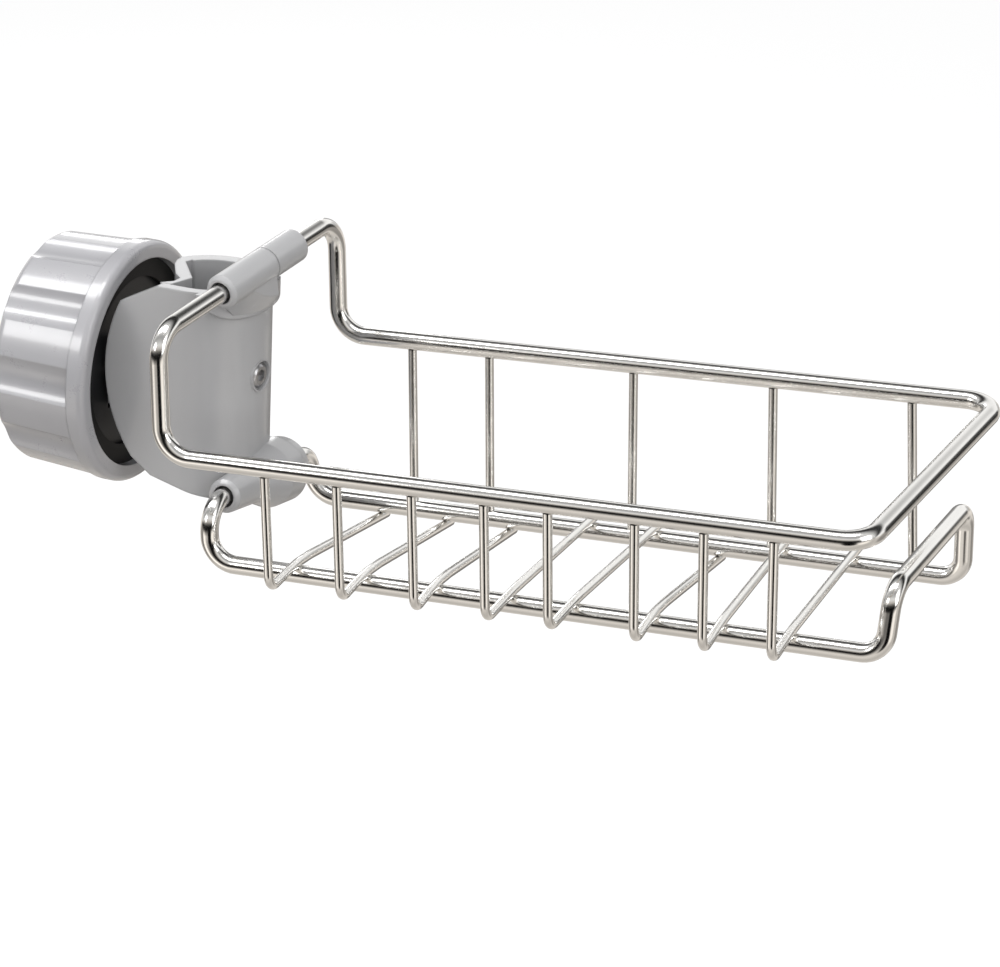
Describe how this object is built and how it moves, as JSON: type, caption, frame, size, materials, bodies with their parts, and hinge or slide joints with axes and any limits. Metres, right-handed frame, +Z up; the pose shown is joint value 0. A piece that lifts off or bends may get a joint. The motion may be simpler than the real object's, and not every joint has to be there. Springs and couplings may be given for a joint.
{
  "type": "wire sponge holder with tap clamp",
  "caption": "Bent wire basket for a sponge that clamps around a tap spout, with a two-part plastic clamp tightened by a large hollow grip knob.",
  "frame": {"origin": "centre of the tap spout grip: on the axis of the clamp's round body, 1 mm above the knob's axis", "axes": "+Z up with the basket level, +X along the rails from the clamp to the free end of the basket, +Y toward the back of the basket. The clamp and its grip axis lean 4.5 degrees toward +X."},
  "size_m": [0.2153, 0.0749, 0.0731],
  "materials": {
    "thick_wire": "polished stainless steel",
    "thin_wire": "polished stainless steel",
    "clamp_plastic": "semi-gloss grey moulded plastic",
    "knob_plastic": "semi-gloss grey moulded plastic",
    "screw_steel": "plain steel",
    "dark_insert": "matte black plastic",
    "dark_ring": "matte dark plastic"
  },
  "bodies": {
    "holder": {"clamp_back": "clamp_plastic", "upper_frame": "thick_wire", "lower_frame": "thick_wire", "floor_wire_1": "thin_wire", "floor_wire_2": "thin_wire", "floor_wire_3": "thin_wire", "floor_wire_4": "thin_wire", "floor_wire_5": "thin_wire", "floor_wire_6": "thin_wire", "floor_wire_7": "thin_wire", "floor_wire_8": "thin_wire", "back_wire_1": "thin_wire", "back_wire_2": "thin_wire", "back_wire_3": "thin_wire", "back_wire_4": "thin_wire", "back_wire_5": "thin_wire"},
    "clamp_jaw": {"clamp_front": "clamp_plastic", "clamp_screw": "screw_steel"},
    "ring": {"thrust_ring": "dark_ring"},
    "knob": {"knob": "knob_plastic", "knob_core": "dark_insert"}
  },
  "joints": [
    {"name": "jaw_slide", "type": "slide", "parent": "holder", "child": "clamp_jaw", "axis": [0, -1, 0], "range_m": [0, 0.001]},
    {"name": "ring_slide", "type": "slide", "parent": "holder", "child": "ring", "axis": [-0.9969, 0, 0.0785], "range_m": [0, 0.006]},
    {"name": "knob_turn", "type": "hinge", "parent": "ring", "child": "knob", "pos_m": [-0.02002, 0, 0.00057], "axis": [-0.9969, 0, 0.0785], "range_deg": [0, 720]}
  ],
  "couplings": [
    {"joint": "knob_turn", "follows": "ring_slide", "rad_per_m": 2094.4},
    {"joint": "jaw_slide", "follows": "ring_slide", "ratio": 0.16666}
  ]
}
